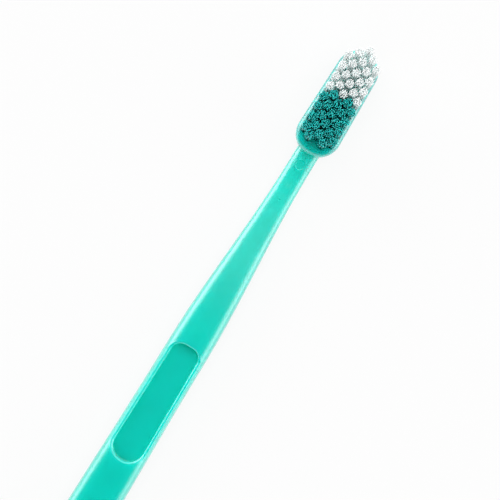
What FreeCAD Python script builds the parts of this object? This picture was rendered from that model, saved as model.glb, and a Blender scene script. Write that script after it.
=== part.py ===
import FreeCAD, Part
import os
from math import asin, cos, hypot, pi, sin, tan

from FreeCAD import Vector

# Manual toothbrush: a moulded body, tufts of filament, and the flat wire plates that staple the tufts in.
# Millimetres. The brush lies on its back, with +Z towards the tips of the tufts and +Y towards the head.
# The origin is on the surface that it lies on, in the middle of its length and width.

# Whole brush
brush_length = 188.0
fit_gap = 0.02
overrun = 1.0
round_limit_share = 0.95

# Handle: widths along its length, thickness, and the flat on its back
end_width = 10.8
end_round = 6.5
grip_width = 11.75
grip_from_end = 50.0
waist_width = 10.45
handle_thickness = 8.6
back_skim = 0.25

# Neck, its taper from the handle's waist, and how far the head stands proud of it at front and back
neck_width = 5.75
neck_straight = 2.5
neck_taper = 53.6
neck_root = 4.0
neck_front_step = 1.0
neck_back_step = 0.4

# Sections of the handle and neck: superellipses, whose power is 2 for an ellipse and more for a squarer form
handle_square_share = 3.4
neck_square_share = 2.5
end_square_share = 2.2
end_flat_share = 0.003
section_points = 32
end_steps = 5
even_steps = 22

# Thumb recess in the front of the handle, with a flat floor and a steep wall all round
recess_to_head = 53.4
recess_length = 31.0
recess_head_width = 6.95
recess_end_width = 7.85
recess_head_corner = 2.6
recess_end_corner = 3.7
recess_depth = 1.8
recess_wall_reach = 0.12
recess_steps = 6
recess_rim_round = 0.45

# Ejector mark and gate dot in the front of the neck, with the widths of their sloped edges
ejector_diameter = 2.6
ejector_edge = 0.3
ejector_depth = 0.09
ejector_to_head = 3.1
gate_diameter = 0.55
gate_edge = 0.1
gate_depth = 0.3
gate_to_head = 12.7

# Head: a plate with two round ends, a little narrower towards the tip
head_length = 27.9
head_neck_width = 11.1
head_tip_width = 10.2
head_back = 1.3
head_thickness = 5.3
head_face_round = 1.4
head_back_round = 1.6

# Tuft holes: how near the middle column comes to the head's ends, and the outer ones to its sides at the tip
hole_diameter = 1.7
hole_floor_wall = 2.0
hole_to_neck_end = 4.65
hole_to_tip = 1.89
hole_to_side = 1.46

# Rows in the middle, inner and outer columns, and how many of them, from the neck, are teal
column_rows = (9, 9, 8)
column_teal_rows = (4, 5, 4)

# Tufts, and the plates that they fold round
tuft_height = 10.5
tuft_tip_gap = 0.2
tuft_crown = 0.3
tuft_fold_round = 0.35
anchor_thickness = 0.3
anchor_bite = 0.25
anchor_height = 1.5
anchor_from_floor = 0.5

# Places along the length
end_y = -brush_length / 2
tip_y = brush_length / 2
grip_y = end_y + grip_from_end
head_y = tip_y - head_length
neck_y = head_y - neck_straight
waist_y = neck_y - neck_taper

# Heights, and the head's two round ends
head_face = head_back + head_thickness
neck_front = head_face - neck_front_step
neck_back = head_back + neck_back_step
hole_floor = head_back + hole_floor_wall
head_neck_radius = head_neck_width / 2
head_tip_radius = head_tip_width / 2
head_neck_centre = head_y + head_neck_radius
head_tip_centre = tip_y - head_tip_radius

# Sizes that follow the tuft pattern
hole_row_pitch = (head_length - hole_to_neck_end - hole_to_tip) / (column_rows[0] - 1)
hole_column_pitch = (head_tip_radius - hole_to_side) / (len(column_rows) - 1)
tuft_spacing = min(hypot(hole_column_pitch, hole_row_pitch / 2), hole_row_pitch)
tuft_tip_radius = (tuft_spacing - tuft_tip_gap) / 2
tuft_root_radius = hole_diameter / 2 - fit_gap
anchor_length = hole_diameter + 2 * anchor_bite


def limited(radius, wall):
    """A round no larger than its wall leaves room for."""
    return min(radius, round_limit_share * wall)


def eased(start, end, share):
    """A value between start and end that leaves and arrives level."""
    held = min(max(share, 0), 1)
    return start + (end - start) * (1 - cos(pi * held)) / 2


def width_at(y):
    """Width of the handle or neck at a place along its length."""
    if y <= grip_y:
        return eased(end_width, grip_width, (y - end_y) / (grip_y - end_y))
    if y <= waist_y:
        return eased(grip_width, waist_width, (y - grip_y) / (waist_y - grip_y))
    return eased(waist_width, neck_width, (y - waist_y) / (neck_y - waist_y))


def past_waist(y, handle_value, neck_value):
    """A value that the handle keeps as far as the waist, and that eases to the neck's from there."""
    return eased(handle_value, neck_value, (y - waist_y) / (neck_y - waist_y))


def end_scale(y):
    """Size of a section near the rounded end, as a share of the full section."""
    inward = min((y - end_y) / end_round, 1)
    kept = end_flat_share + (1 - end_flat_share) * inward
    return (1 - (1 - kept) ** end_square_share) ** (1 / end_square_share)


def section_sizes(y):
    """Half width, half height, middle height and power of the section at a place along the length."""
    front = past_waist(y, handle_thickness, neck_front)
    back = past_waist(y, -back_skim, neck_back)
    square = past_waist(y, handle_square_share, neck_square_share)
    scale = end_scale(y)
    return scale * width_at(y) / 2, scale * (front - back) / 2, (front + back) / 2, square


def front_at(x, y):
    """Height of the front of the handle or neck."""
    half_width, half_height, middle, square = section_sizes(y)
    return middle + half_height * (1 - (x / half_width) ** square) ** (1 / square)


def section(y):
    """Superellipse across the handle or neck, parted at both sides into a front and a back half."""
    half_width, half_height, middle, square = section_sizes(y)
    points = []
    for i in range(section_points):
        angle = 2 * pi * i / section_points
        across = (abs(cos(angle)) / half_width) ** square
        upward = (abs(sin(angle)) / half_height) ** square
        reach = (across + upward) ** (-1 / square)
        points.append(Vector(reach * cos(angle), y, middle + reach * sin(angle)))
    curve = Part.BSplineCurve()
    curve.interpolate(Points=points, PeriodicFlag=True, Parameters=list(range(section_points + 1)))
    half = section_points / 2
    return Part.Wire([curve.toShape(0, half), curve.toShape(half, section_points)])


def stations():
    """Places of the sections: close together round the end, then evenly to inside the head."""
    start = end_y + end_round
    stop = head_y + neck_root
    places = [end_y + end_round * (1 - cos(pi / 2 * step / end_steps)) for step in range(end_steps)]
    places += [start + (stop - start) * step / even_steps for step in range(even_steps + 1)]
    return places


def box(x_size, y_size, z_size, middle_x, middle_y, low_z):
    """Block that is centred across and along, and stands on low_z."""
    corner = Vector(middle_x - x_size / 2, middle_y - y_size / 2, low_z)
    return Part.makeBox(x_size, y_size, z_size, corner)


def handle_and_neck():
    """Loft of the handle and neck, with a true flat along the back for it to lie on."""
    loft = Part.makeLoft([section(y) for y in stations()], True)
    skim_height = back_skim + overrun
    skim = box(2 * grip_width, 2 * brush_length, skim_height, 0, 0, -skim_height)
    return loft.cut(skim)


def rounded_corner(corner, before, after, radius):
    """Arc that rounds a corner of an outline."""
    back, ahead = before - corner, after - corner
    half_angle = back.getAngle(ahead) / 2
    back.normalize()
    ahead.normalize()
    inward = back + ahead
    inward.normalize()
    along = radius / tan(half_angle)
    bend = corner + inward * (radius / sin(half_angle) - radius)
    return Part.Arc(corner + back * along, bend, corner + ahead * along)


def recess_outline(turn):
    """Outline of the thumb recess at one level: its rim at no turn, and its floor at a quarter turn."""
    inset = recess_wall_reach * (1 - cos(max(turn, 0)))
    half_head, half_end = recess_head_width / 2 - inset, recess_end_width / 2 - inset
    high_y = head_y - recess_to_head - inset
    low_y = head_y - recess_to_head - recess_length + inset
    z = handle_thickness - recess_depth * sin(turn)
    corners = [Vector(-half_end, low_y, z), Vector(half_end, low_y, z),
               Vector(half_head, high_y, z), Vector(-half_head, high_y, z)]
    end_radius = limited(recess_end_corner, recess_end_width / 2) - inset
    head_radius = limited(recess_head_corner, recess_head_width / 2) - inset
    radii = [end_radius, end_radius, head_radius, head_radius]
    edges = []
    for i, radius in enumerate(radii):
        arc = rounded_corner(corners[i], corners[i - 1], corners[(i + 1) % len(corners)], radius)
        if edges:
            edges.append(Part.LineSegment(edges[-1].EndPoint, arc.StartPoint))
        edges.append(arc)
    edges.append(Part.LineSegment(edges[-1].EndPoint, edges[0].StartPoint))
    return Part.Wire([edge.toShape() for edge in edges])


def thumb_recess():
    """Tub to cut the thumb recess with, from above the handle's front down to a flat floor."""
    levels = range(-recess_steps // 2, recess_steps + 1)
    return Part.makeLoft([recess_outline(pi / 2 * level / recess_steps) for level in levels], True)


def with_recess(handle):
    """The handle with its thumb recess, and the recess's rim rounded."""
    recess = thumb_recess()
    hollowed = handle.cut(recess)
    reach = recess.BoundBox
    reach.enlarge(fit_gap)
    rim = []
    for edge in hollowed.Edges:
        middle = Part.Vertex(edge.valueAt((edge.FirstParameter + edge.LastParameter) / 2))
        on_outside = min(face.distToShape(middle)[0] for face in handle.Faces) < fit_gap
        if on_outside and reach.isInside(edge.BoundBox):
            rim.append(edge)
    return hollowed.makeFillet(recess_rim_round, rim)


def neck_mark(diameter, edge, depth, to_head):
    """Round tool with a sloped edge for a mark in the front of the neck."""
    y = head_y - to_head
    floor = Vector(0, y, front_at(0, y) - depth)
    return Part.makeCone(diameter / 2 - edge, diameter / 2 + edge * overrun / depth, depth + overrun, floor)


def head_plate():
    """Plate with two round ends and tangent sides, its face and back edges rounded."""
    slant = asin((head_neck_radius - head_tip_radius) / (head_tip_centre - head_neck_centre))
    neck_x = head_neck_radius * cos(slant)
    neck_side_y = head_neck_centre + head_neck_radius * sin(slant)
    tip_x = head_tip_radius * cos(slant)
    tip_side_y = head_tip_centre + head_tip_radius * sin(slant)
    neck_right = Vector(neck_x, neck_side_y, head_back)
    neck_left = Vector(-neck_x, neck_side_y, head_back)
    tip_right = Vector(tip_x, tip_side_y, head_back)
    tip_left = Vector(-tip_x, tip_side_y, head_back)
    outline = Part.Wire([
        Part.Arc(neck_left, Vector(0, head_y, head_back), neck_right).toShape(),
        Part.LineSegment(neck_right, tip_right).toShape(),
        Part.Arc(tip_right, Vector(0, tip_y, head_back), tip_left).toShape(),
        Part.LineSegment(tip_left, neck_left).toShape(),
    ])
    plate = Part.Face(outline).extrude(Vector(0, 0, head_thickness))
    face_round = limited(head_face_round, min(head_thickness / 2, head_tip_radius))
    face_edges = [e for e in plate.Edges if e.BoundBox.ZMin > head_face - fit_gap]
    plate = plate.makeFillet(face_round, face_edges)
    back_round = limited(head_back_round, min(head_thickness - face_round, head_tip_radius))
    back_edges = [e for e in plate.Edges if e.BoundBox.ZMax < head_back + fit_gap]
    return plate.makeFillet(back_round, back_edges)


def hole_places():
    """Each tuft hole's place along and across, with its tuft's colour, from the neck to the tip.

    Every second column starts half a pitch nearer to the neck.
    """
    places = []
    side_columns = len(column_rows) - 1
    for column in range(-side_columns, side_columns + 1):
        first_y = head_y + hole_to_neck_end - (column % 2) * hole_row_pitch / 2
        for row in range(column_rows[abs(column)]):
            colour = "teal" if row < column_teal_rows[abs(column)] else "white"
            places.append((first_y + row * hole_row_pitch, column * hole_column_pitch, colour))
    return sorted(places)


def anchor(x, y):
    """Flat wire plate that lies along the hole and bites into the plastic at both ends."""
    return box(anchor_thickness, anchor_length, anchor_height, x, y, hole_floor + anchor_from_floor)


def anchor_room(x, y):
    """The plate's place in the tuft and in the head, with the fit's gap all round."""
    gaps = 2 * fit_gap
    low_z = hole_floor + anchor_from_floor - fit_gap
    return box(anchor_thickness + gaps, anchor_length + gaps, anchor_height + gaps, x, y, low_z)


def tuft_hole(x, y):
    """Tool for one blind hole with the room for its plate."""
    height = head_face - hole_floor + overrun
    bore = Part.makeCylinder(hole_diameter / 2, height, Vector(x, y, hole_floor))
    return bore.fuse(anchor_room(x, y))


def tuft(x, y):
    """Bundle of filaments: folded round its plate in the hole, a little wider at its crowned tip."""
    fold_round = limited(tuft_fold_round, tuft_root_radius)
    fold_centre = Vector(tuft_root_radius - fold_round, 0, hole_floor + fit_gap + fold_round)
    fold_start = fold_centre - Vector(0, 0, fold_round)
    fold_bend = fold_centre + Vector(fold_round * sin(pi / 4), 0, -fold_round * cos(pi / 4))
    fold_end = fold_centre + Vector(fold_round, 0, 0)
    mouth = Vector(tuft_root_radius, 0, head_face)
    crown = limited(tuft_crown, tuft_tip_radius)
    crown_radius = (tuft_tip_radius ** 2 + crown ** 2) / (2 * crown)
    crown_half_turn = asin(tuft_tip_radius / crown_radius) / 2
    top = Vector(0, 0, head_face + tuft_height)
    crown_centre = top - Vector(0, 0, crown_radius)
    crown_bend = crown_centre + Vector(sin(crown_half_turn), 0, cos(crown_half_turn)) * crown_radius
    shoulder = Vector(tuft_tip_radius, 0, top.z - crown)
    bottom = Vector(0, 0, fold_start.z)
    profile = Part.Wire([
        Part.LineSegment(bottom, fold_start).toShape(),
        Part.Arc(fold_start, fold_bend, fold_end).toShape(),
        Part.LineSegment(fold_end, mouth).toShape(),
        Part.LineSegment(mouth, shoulder).toShape(),
        Part.Arc(shoulder, crown_bend, top).toShape(),
        Part.LineSegment(top, bottom).toShape(),
    ])
    bundle = Part.Face(profile).revolve(Vector(0, 0, 0), Vector(0, 0, 1), 360)
    bundle.translate(Vector(x, y, 0))
    return bundle.cut(anchor_room(x, y))


def body(places):
    """Handle, neck and head as one moulding, with its marks and tuft holes."""
    handle = with_recess(handle_and_neck())
    marks = [neck_mark(ejector_diameter, ejector_edge, ejector_depth, ejector_to_head),
             neck_mark(gate_diameter, gate_edge, gate_depth, gate_to_head)]
    moulding = handle.cut(marks).fuse(head_plate())
    return moulding.cut([tuft_hole(x, y) for y, x, colour in places])


def main():
    os.makedirs("parts", exist_ok=True)
    places = hole_places()
    body(places).exportStep("parts/body.step")
    for wanted in ("teal", "white"):
        own_places = [(x, y) for y, x, colour in places if colour == wanted]
        for number, (x, y) in enumerate(own_places, 1):
            tuft(x, y).exportStep(f"parts/{wanted}_tuft_{number:02d}.step")
    anchors = Part.makeCompound([anchor(x, y) for y, x, colour in places])
    anchors.exportStep("parts/tuft_anchors.step")


main()
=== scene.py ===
import math
import random
from operator import itemgetter

import bpy
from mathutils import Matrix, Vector
from mathutils.bvhtree import BVHTree


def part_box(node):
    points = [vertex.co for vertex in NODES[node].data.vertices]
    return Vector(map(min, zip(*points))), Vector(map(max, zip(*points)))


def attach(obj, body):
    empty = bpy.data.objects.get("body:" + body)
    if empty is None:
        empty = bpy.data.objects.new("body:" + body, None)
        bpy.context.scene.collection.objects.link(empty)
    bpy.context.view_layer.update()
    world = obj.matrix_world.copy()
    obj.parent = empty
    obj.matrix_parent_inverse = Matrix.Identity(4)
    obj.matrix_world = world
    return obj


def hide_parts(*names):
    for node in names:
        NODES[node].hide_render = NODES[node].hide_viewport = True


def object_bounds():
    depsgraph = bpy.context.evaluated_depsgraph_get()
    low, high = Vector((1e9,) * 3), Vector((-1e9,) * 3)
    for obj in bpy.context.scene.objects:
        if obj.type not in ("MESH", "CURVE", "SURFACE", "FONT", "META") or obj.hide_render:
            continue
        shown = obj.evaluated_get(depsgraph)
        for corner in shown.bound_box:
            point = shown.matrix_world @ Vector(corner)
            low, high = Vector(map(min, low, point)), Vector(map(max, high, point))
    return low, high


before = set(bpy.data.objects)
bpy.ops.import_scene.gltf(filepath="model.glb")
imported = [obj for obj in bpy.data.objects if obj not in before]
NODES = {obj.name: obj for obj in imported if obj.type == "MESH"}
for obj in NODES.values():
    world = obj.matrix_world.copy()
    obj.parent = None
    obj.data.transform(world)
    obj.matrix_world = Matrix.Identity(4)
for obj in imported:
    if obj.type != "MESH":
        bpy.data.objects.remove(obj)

# Manual toothbrush. Metres, in the part's own frame: it lies on its back, with +Y towards the head
# and +Z towards the tips of the tufts.

MM = 0.001
TUFT_NODES = sorted(name for name in NODES if "_tuft_" in name)
CAD_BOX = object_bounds()

# Camera: straight down on the brush, as the photograph was taken
PHOTO_SIDE = 500
FOCAL_PIXELS = 1512
SENSOR = 36.0
CLIP_START = 0.01
CLIP_END = 10.0
CAMERA_PLACE = (0.30 * MM, 39.6 * MM, 364 * MM)
CAMERA_TURN = math.radians(31.36)

# Light tent: each panel's way, the cosines to it at which the panel begins and is full, and its brightness
PANELS = {
    "left": ((-0.95, 0.31, 0.0), 0.56, 1.0, 3.1),
    "right": ((0.95, 0.31, 0.0), 0.56, 1.0, 2.1),
    "foot": ((0.0, -1.0, 0.0), 0.6, 1.0, 1.0),
    "head": ((0.0, 1.0, 0.0), 0.08, 0.32, 0.64),
}

# Soft lamps that light the surfaces and aren't reflected in them: place and brightness
SOFT_BOXES = {
    "top": ((0.0, 0.28, 0.85), 2.9),
    "front": ((0.0, -0.5, 0.8), 1.1),
}
BOX_SIDE = 0.8
BOX_TARGET = (0.0, 0.03, 0.0)

# Bounces of the light among the filaments
DIFFUSE_BOUNCES = 48
ALL_BOUNCES = 64

# Pale sheet below the brush
FLOOR_SIDE = 3.0
FLOOR_GAP = 0.02 * MM
FLOOR_COLOUR = (0.65, 0.65, 0.65)
FLOOR_ROUGHNESS = 0.9
FLOOR_GLOW = 0.88

# Finishes. Noise scales are features per metre, and pairs are the values at the noise's low and high end
NOISE_ENDS = (0.3, 0.7)
BODY_COLOURS = ((0.0, 0.545, 0.455), (0.0, 0.585, 0.49))
BODY_CLOUDS = 90
BODY_CLOUD_DETAIL = 2.0
BODY_GRAIN = 2600
BODY_GRAIN_DETAIL = 4.0
BODY_GRAIN_ROUGHNESS = 0.6
BODY_GRAIN_DEPTH = 0.02 * MM
BODY_GRAIN_STRENGTH = 0.15
BODY_ROUGHNESS = (0.13, 0.19)
BODY_SPECULAR = 0.9
BODY_LIGHT_REACH = 9.0 * MM
BODY_LIGHT_COLOUR = (0.1, 1.0, 0.9)
COAT_ROUGHNESS = 0.28
COAT_IOR = 2.0
# Filament colours at the ends of their ramp, which each filament's random tone and painted light drive:
# the pale end is a painted highlight on the lit tips, the deep end painted shade deep in the tuft
FILAMENT_COLOURS = {
    "teal": ((0.001, 0.215, 0.206), (0.05, 0.765, 0.735)),
    "white": ((0.93, 0.988, 0.984), (0.988, 0.994, 0.994)),
}
FILAMENT_GRAIN = 3000
FILAMENT_GRAIN_DETAIL = 2.0
FILAMENT_ROUGHNESS = (0.28, 0.45)
FILAMENT_LIGHT_REACH = 0.05 * MM
FILAMENT_LIGHT_COLOUR = (1.0, 1.0, 1.0)
WIRE_COLOURS = ((0.55, 0.44, 0.24), (0.74, 0.62, 0.38))
WIRE_STREAKS = 5000
WIRE_ROUGHNESS = (0.25, 0.45)

# Filaments: each is folded in two round the tuft's anchor plate
FILAMENT_RADIUS = 0.095 * MM
FOLDED_FILAMENTS = 28
FILAMENT_SIDES = 7
FOLD_POINTS = 5
FOLD_LEAST = 0.4
FREE_POINTS = 5
ROUNDED_TIP = (0.5, 0.86)
TIP_UNEVEN = 0.35 * MM
TIP_WANDERS = {"teal": 0.32 * MM, "white": 0.2 * MM}
TIP_LEAN = 1.2 * MM
LEAN_POWER = 2
BEND_POWER = 2
# Painted light on the filaments: how much paler their tips are painted, and how sharply that paleness
# gathers towards the tips
TIP_PAINTED_LIGHT = 1.0
TIP_PAINTED_LIGHT_POWER = 3
TIP_SPREADS = {"teal": 1.14, "white": 1.05}
STRAY_SHARE = 0.03
STRAY_WANDER = 0.6 * MM
SEED = 7

# Place on the bare face of the head, so far from the first plates
FACE_PROBE = 0.6 * MM


def new_object(name, mesh):
    """Links a mesh into the scene under a name."""
    made = bpy.data.objects.new(name, mesh)
    bpy.context.scene.collection.objects.link(made)
    return made


def body_tree():
    """Search tree of the moulded body's faces."""
    return BVHTree.FromObject(NODES["body"], bpy.context.evaluated_depsgraph_get())


def surface_height(tree, x, y):
    """Height of the body's front at a place."""
    above = Vector((x, y, CAD_BOX[1][2] + MM))
    return tree.ray_cast(above, Vector((0, 0, -1)))[0].z


# Shader helpers

def new_material(name):
    """Empty node material with its Principled shader."""
    material = bpy.data.materials.new(name)
    material.use_nodes = True
    nodes = material.node_tree.nodes
    return material, nodes, material.node_tree.links, nodes["Principled BSDF"]


def object_coordinates(nodes):
    """Socket of a point's place on the part."""
    return nodes.new("ShaderNodeTexCoord").outputs["Object"]


def noise(nodes, links, place, scale, detail=3.0, roughness=0.5):
    """Noise at a scale in features per metre, from 0 to 1."""
    made = nodes.new("ShaderNodeTexNoise")
    made.inputs["Scale"].default_value = scale
    made.inputs["Detail"].default_value = detail
    made.inputs["Roughness"].default_value = roughness
    links.new(place, made.inputs["Vector"])
    return made.outputs["Fac"]


def ramp(nodes, links, value, ends, colours):
    """Colour ramp between two colours, over the values between two ends."""
    made = nodes.new("ShaderNodeValToRGB")
    for element, position, colour in zip(made.color_ramp.elements, ends, colours):
        element.position = position
        element.color = (*colour, 1.0)
    links.new(value, made.inputs["Fac"])
    return made.outputs["Color"]


def spread(nodes, links, value, low, high):
    """Maps 0..1 onto low..high."""
    made = nodes.new("ShaderNodeMapRange")
    made.inputs["To Min"].default_value = low
    made.inputs["To Max"].default_value = high
    links.new(value, made.inputs["Value"])
    return made.outputs["Result"]


def bump(nodes, links, shader, height, distance, strength):
    """Bumps a shader's normal by a height."""
    made = nodes.new("ShaderNodeBump")
    made.inputs["Distance"].default_value = distance
    made.inputs["Strength"].default_value = strength
    links.new(height, made.inputs["Height"])
    links.new(made.outputs["Normal"], shader.inputs["Normal"])


def translucent(shader, reach, colour):
    """Lets light wander in a solid, so far in the colours that go deepest."""
    shader.inputs["Subsurface Weight"].default_value = 1.0
    shader.inputs["Subsurface Radius"].default_value = colour
    shader.inputs["Subsurface Scale"].default_value = reach


# Finishes

def turquoise_plastic():
    """Glossy moulded plastic, translucent."""
    material, nodes, links, shader = new_material("turquoise_plastic")
    place = object_coordinates(nodes)
    cloud = noise(nodes, links, place, BODY_CLOUDS, BODY_CLOUD_DETAIL)
    links.new(ramp(nodes, links, cloud, NOISE_ENDS, BODY_COLOURS), shader.inputs["Base Color"])
    grain = noise(nodes, links, place, BODY_GRAIN, BODY_GRAIN_DETAIL, BODY_GRAIN_ROUGHNESS)
    links.new(spread(nodes, links, grain, *BODY_ROUGHNESS), shader.inputs["Roughness"])
    bump(nodes, links, shader, grain, BODY_GRAIN_DEPTH, BODY_GRAIN_STRENGTH)
    shader.inputs["Specular IOR Level"].default_value = BODY_SPECULAR
    translucent(shader, BODY_LIGHT_REACH, BODY_LIGHT_COLOUR)
    shader.inputs["Coat Weight"].default_value = 1.0
    shader.inputs["Coat Roughness"].default_value = COAT_ROUGHNESS
    shader.inputs["Coat IOR"].default_value = COAT_IOR
    return material


def filament_plastic(name, colours):
    """Nylon filament, each a little different from the next, with painted light: paler towards its lit
    tips and darker deep in the tuft.
    """
    material, nodes, links, shader = new_material(name)
    # The ramp follows each filament's random tone plus painted light that makes it paler towards the tips
    tone_and_tip_light = nodes.new("ShaderNodeAttribute")
    tone_and_tip_light.attribute_name = "tone_and_tip_light"
    links.new(ramp(nodes, links, tone_and_tip_light.outputs["Fac"], (0.0, 1.0), colours), shader.inputs["Base Color"])
    grain = noise(nodes, links, object_coordinates(nodes), FILAMENT_GRAIN, FILAMENT_GRAIN_DETAIL)
    links.new(spread(nodes, links, grain, *FILAMENT_ROUGHNESS), shader.inputs["Roughness"])
    translucent(shader, FILAMENT_LIGHT_REACH, FILAMENT_LIGHT_COLOUR)
    return material


def anchor_metal():
    """Cut flat wire, a little mottled."""
    material, nodes, links, shader = new_material("anchor_wire")
    streak = noise(nodes, links, object_coordinates(nodes), WIRE_STREAKS)
    links.new(ramp(nodes, links, streak, NOISE_ENDS, WIRE_COLOURS), shader.inputs["Base Color"])
    links.new(spread(nodes, links, streak, *WIRE_ROUGHNESS), shader.inputs["Roughness"])
    shader.inputs["Metallic"].default_value = 1.0
    return material


# Filament bundles

def leg_places(count):
    """Evenly spread places of a disc of radius 1, as pairs for the two legs of each folded filament."""
    golden = math.pi * (3 - math.sqrt(5))
    places = []
    for i in range(2 * count):
        reach = math.sqrt((i + 0.5) / (2 * count))
        places.append((reach * math.cos(i * golden), reach * math.sin(i * golden)))
    places.sort()
    left, right = places[:count], places[count:]
    return list(zip(sorted(right, key=itemgetter(1)), sorted(left, key=itemgetter(1))))


def rings_along(path):
    """Centre, direction and radius share of each ring of a tube with rounded ends."""
    rings = []
    last = len(path) - 1
    for i, point in enumerate(path):
        along = (path[min(i + 1, last)] - path[max(i - 1, 0)]).normalized()
        rings.append((point, along, 1.0))
    for share in ROUNDED_TIP:
        for at_end in (False, True):
            along = rings[-1 if at_end else 0][1]
            tip = path[last] if at_end else path[0]
            outward = along if at_end else -along
            ring = (tip + outward * FILAMENT_RADIUS * share, along, math.sqrt(1 - share ** 2))
            rings.insert(len(rings) if at_end else 0, ring)
    return rings


def add_tube(vertices, faces, path):
    """Adds a tube with rounded, closed ends along a path to lists of vertices and faces."""
    start = len(vertices)
    rings = rings_along(path)
    for point, along, share in rings:
        across = Vector((0, 1, 0)).cross(along).normalized()
        other = along.cross(across)
        for k in range(FILAMENT_SIDES):
            angle = 2 * math.pi * k / FILAMENT_SIDES
            offset = across * math.cos(angle) + other * math.sin(angle)
            vertices.append(point + offset * FILAMENT_RADIUS * share)
    corners = range(start, start + FILAMENT_SIDES)
    for i in range(len(rings) - 1):
        lower = [corner + i * FILAMENT_SIDES for corner in corners]
        upper = [corner + FILAMENT_SIDES for corner in lower]
        for k in range(FILAMENT_SIDES):
            faces.append((lower[k - 1], lower[k], upper[k], upper[k - 1]))
    last_ring = [corner + (len(rings) - 1) * FILAMENT_SIDES for corner in corners]
    faces.append(tuple(reversed(corners)))
    faces.append(tuple(last_ring))


def free_length(root, tip, mouth_z, drift):
    """Points of a filament from its hole's mouth to its tip, bending more towards the tip."""
    mouth = Vector((root.x, root.y, mouth_z))
    points = [mouth]
    for step in range(1, FREE_POINTS + 1):
        share = step / FREE_POINTS
        points.append(mouth.lerp(tip, share) + drift * share ** BEND_POWER)
    return points


def folded_filament(centre, places, sizes, rng):
    """Path of one filament: down from its tip, under the anchor plate, and up to its other tip."""
    legs = []
    roots = []
    for side, (u, v) in zip((1, -1), places):
        x = side * (sizes["plate"] + abs(u) * (sizes["root"] - sizes["plate"]))
        y = v * math.sqrt(max(sizes["root"] ** 2 - x ** 2, 0))
        root = Vector((centre.x + x, centre.y + y, sizes["plate_low"]))
        reach = STRAY_WANDER if rng.random() < STRAY_SHARE else sizes["wander"]
        turn = rng.uniform(0, 2 * math.pi)
        drift = Vector((math.cos(turn), math.sin(turn), 0)) * reach * rng.random()
        tip_z = sizes["top"] - rng.random() * TIP_UNEVEN
        farthest = CAD_BOX[1][1] - FILAMENT_RADIUS - drift.y
        tip_y = min(centre.y + v * sizes["tip"] + sizes["lean"], farthest)
        tip = Vector((centre.x + u * sizes["tip"], tip_y, tip_z))
        roots.append(root)
        legs.append(free_length(root, tip, sizes["mouth"], drift))
    reach = (abs(places[0][0]) + abs(places[1][0])) / 2
    depth = (sizes["plate_low"] - sizes["bottom"]) * (FOLD_LEAST + (1 - FOLD_LEAST) * reach)
    fold = []
    for step in range(FOLD_POINTS):
        angle = math.pi * step / (FOLD_POINTS - 1)
        middle = roots[0].lerp(roots[1], (1 - math.cos(angle)) / 2)
        fold.append(middle - Vector((0, 0, depth * math.sin(angle))))
    return legs[0][::-1] + fold + legs[1]


def tone_with_painted_tip_light(own, z, sizes):
    """Ramp place of a filament at a height: its own random tone, plus painted light that makes it paler
    towards its cut tips, standing in for the lit tips over the shade deeper down.
    """
    free = max(0.0, (z - sizes["mouth"]) / (sizes["top"] - sizes["mouth"]))
    return (own + TIP_PAINTED_LIGHT * free ** TIP_PAINTED_LIGHT_POWER) / (1 + TIP_PAINTED_LIGHT)


def bundle_sizes(node, kind, mouth_z, rows):
    """Sizes that a tuft's filaments follow, read from its plain solid."""
    low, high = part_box(node)
    centre = (low + high) / 2
    buried = [v.co - centre for v in NODES[node].data.vertices if v.co.z < mouth_z - MM]
    plate_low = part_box("tuft_anchors")[0].z
    middle_row = (rows[0] + rows[-1]) / 2
    past_middle = max(0.0, (centre.y - middle_row) / (rows[-1] - middle_row))
    return {
        "root": max(math.hypot(co.x, co.y) for co in buried) - FILAMENT_RADIUS,
        "plate": min(abs(co.x) for co in buried if co.z > plate_low - centre.z) + FILAMENT_RADIUS,
        "plate_low": plate_low - FILAMENT_RADIUS,
        "bottom": low.z + FILAMENT_RADIUS,
        "mouth": mouth_z,
        "tip": ((high.x - low.x) / 2 - FILAMENT_RADIUS) * TIP_SPREADS[kind],
        "wander": TIP_WANDERS[kind],
        "lean": TIP_LEAN * past_middle ** LEAN_POWER,
        "top": high.z - FILAMENT_RADIUS,
    }


def filament_bundle(node, sizes, rng):
    """All the folded filaments of one tuft, in the room of its plain solid."""
    low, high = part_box(node)
    centre = (low + high) / 2
    vertices, faces, tones_with_tip_light = [], [], []
    for places in leg_places(FOLDED_FILAMENTS):
        add_tube(vertices, faces, folded_filament(centre, places, sizes, rng))
        # Each filament's own random tone, with painted light that makes it paler towards its tips
        own = rng.random()
        tones_with_tip_light += [tone_with_painted_tip_light(own, vertex.z, sizes) for vertex in vertices[len(tones_with_tip_light):]]
    mesh = bpy.data.meshes.new(node + "_filaments")
    mesh.from_pydata(vertices, [], faces)
    mesh.shade_smooth()
    # Stores the random tone and the painted tip light for the material's ramp
    attribute = mesh.attributes.new("tone_and_tip_light", "FLOAT", "POINT")
    attribute.data.foreach_set("value", tones_with_tip_light)
    return new_object(node + "_filaments", mesh)


def dress_tufts(face_z):
    """Replaces each plain tuft with its bundle of filaments."""
    rng = random.Random(SEED)
    rows = sorted(sum(corner.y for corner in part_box(node)) / 2 for node in TUFT_NODES)
    finishes = {}
    for kind, colours in FILAMENT_COLOURS.items():
        finishes[kind] = filament_plastic(kind + "_filament", colours)
    for node in TUFT_NODES:
        kind = node.split("_")[0]
        bundle = filament_bundle(node, bundle_sizes(node, kind, face_z, rows), rng)
        bundle.data.materials.append(finishes[kind])
        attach(bundle, "root")
        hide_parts(node)


def dress_cad(node, material):
    """Gives a CAD node its finish."""
    slots = NODES[node].data.materials
    slots.clear()
    slots.append(material)


# Camera, light and floor

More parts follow.
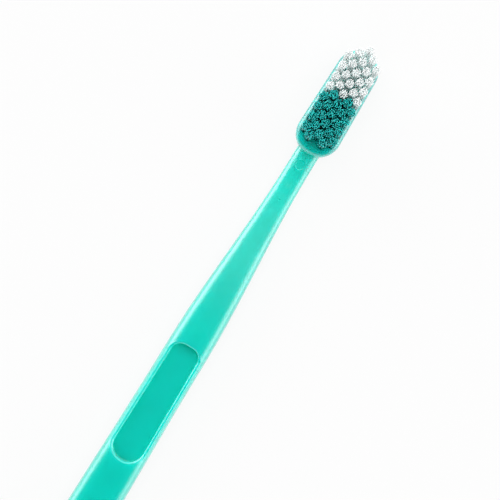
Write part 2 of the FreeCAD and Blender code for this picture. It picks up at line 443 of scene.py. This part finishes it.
def place_camera():
    """Camera straight above the neck, turned so that the brush points to the upper right."""
    data = bpy.data.cameras.new("camera")
    data.sensor_width = SENSOR
    data.lens = SENSOR * FOCAL_PIXELS / PHOTO_SIDE
    data.clip_start = CLIP_START
    data.clip_end = CLIP_END
    camera = bpy.data.objects.new("camera", data)
    camera.location = CAMERA_PLACE
    camera.rotation_euler = (0, 0, CAMERA_TURN)
    bpy.context.scene.collection.objects.link(camera)
    bpy.context.scene.camera = camera


def combined(nodes, links, operation, sockets):
    """Socket of all the given ones, taken together by a math operation."""
    total = sockets[0]
    for socket in sockets[1:]:
        made = nodes.new("ShaderNodeMath")
        made.operation = operation
        links.new(total, made.inputs[0])
        links.new(socket, made.inputs[1])
        total = made.outputs["Value"]
    return total


def is_seen_directly(nodes, links):
    """1 for camera, glossy and transmission rays, 0 for the rays that carry light between surfaces."""
    path = nodes.new("ShaderNodeLightPath")
    rays = [path.outputs[name] for name in ("Is Camera Ray", "Is Glossy Ray", "Is Transmission Ray")]
    return combined(nodes, links, "MAXIMUM", rays)


def panel_light(nodes, links, direction, way, begins, full, brightness):
    """Socket of one panel's light: none outside the panel, and full in its middle."""
    towards = nodes.new("ShaderNodeVectorMath")
    towards.operation = "DOT_PRODUCT"
    towards.inputs[1].default_value = way
    links.new(direction, towards.inputs[0])
    panel = nodes.new("ShaderNodeMapRange")
    panel.interpolation_type = "SMOOTHSTEP"
    panel.inputs["From Min"].default_value = begins
    panel.inputs["From Max"].default_value = full
    panel.inputs["To Max"].default_value = brightness
    links.new(towards.outputs["Value"], panel.inputs["Value"])
    return panel.outputs["Result"]


def light_world():
    """Light tent: bright low sides, softer panels at the head and the foot, and dark above the handle."""
    world = bpy.data.worlds.new("world")
    world.use_nodes = True
    nodes, links = world.node_tree.nodes, world.node_tree.links
    background = nodes["Background"]
    background.inputs["Color"].default_value = (1, 1, 1, 1)
    direction = nodes.new("ShaderNodeTexCoord").outputs["Generated"]
    panels = [panel_light(nodes, links, direction, *panel) for panel in PANELS.values()]
    path = nodes.new("ShaderNodeLightPath")
    strength = nodes.new("ShaderNodeMix")
    strength.inputs["B"].default_value = 1.0
    links.new(path.outputs["Is Camera Ray"], strength.inputs["Factor"])
    links.new(combined(nodes, links, "ADD", panels), strength.inputs["A"])
    links.new(strength.outputs["Result"], background.inputs["Strength"])
    bpy.context.scene.world = world


def soft_box(name, place, brightness):
    """Square soft lamp that lights surfaces and isn't reflected in them."""
    data = bpy.data.lights.new(name, "AREA")
    data.size = BOX_SIDE
    data.energy = brightness * math.pi * BOX_SIDE ** 2
    lamp = bpy.data.objects.new(name, data)
    lamp.location = place
    lamp.rotation_euler = (Vector(BOX_TARGET) - Vector(place)).to_track_quat("-Z", "Y").to_euler()
    lamp.visible_camera = False
    lamp.visible_glossy = False
    bpy.context.scene.collection.objects.link(lamp)


def white_floor():
    """Pale sheet that the brush lies on: near white where seen, with the brush's soft shadow."""
    half = FLOOR_SIDE / 2
    mesh = bpy.data.meshes.new("floor")
    corners = [(-half, -half, 0), (half, -half, 0), (half, half, 0), (-half, half, 0)]
    mesh.from_pydata(corners, [], [(0, 1, 2, 3)])
    floor = new_object("floor", mesh)
    floor.location.z = CAD_BOX[0][2] - FLOOR_GAP
    material, nodes, links, shader = new_material("floor")
    shader.inputs["Base Color"].default_value = (*FLOOR_COLOUR, 1)
    shader.inputs["Roughness"].default_value = FLOOR_ROUGHNESS
    glow = nodes.new("ShaderNodeEmission")
    glow.inputs["Strength"].default_value = 1.0
    mixer = nodes.new("ShaderNodeMixShader")
    links.new(spread(nodes, links, is_seen_directly(nodes, links), 0.0, FLOOR_GLOW), mixer.inputs["Fac"])
    links.new(shader.outputs["BSDF"], mixer.inputs[1])
    links.new(glow.outputs["Emission"], mixer.inputs[2])
    links.new(mixer.outputs["Shader"], nodes["Material Output"].inputs["Surface"])
    mesh.materials.append(material)


def main():
    bpy.context.scene.view_settings.view_transform = "Standard"
    bpy.context.scene.cycles.diffuse_bounces = DIFFUSE_BOUNCES
    bpy.context.scene.cycles.max_bounces = ALL_BOUNCES
    place_camera()
    light_world()
    for name, (place, brightness) in SOFT_BOXES.items():
        soft_box(name, place, brightness)
    white_floor()
    face_z = surface_height(body_tree(), 0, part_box("tuft_anchors")[0].y - FACE_PROBE)
    dress_cad("body", turquoise_plastic())
    dress_cad("tuft_anchors", anchor_metal())
    dress_tufts(face_z)


main()
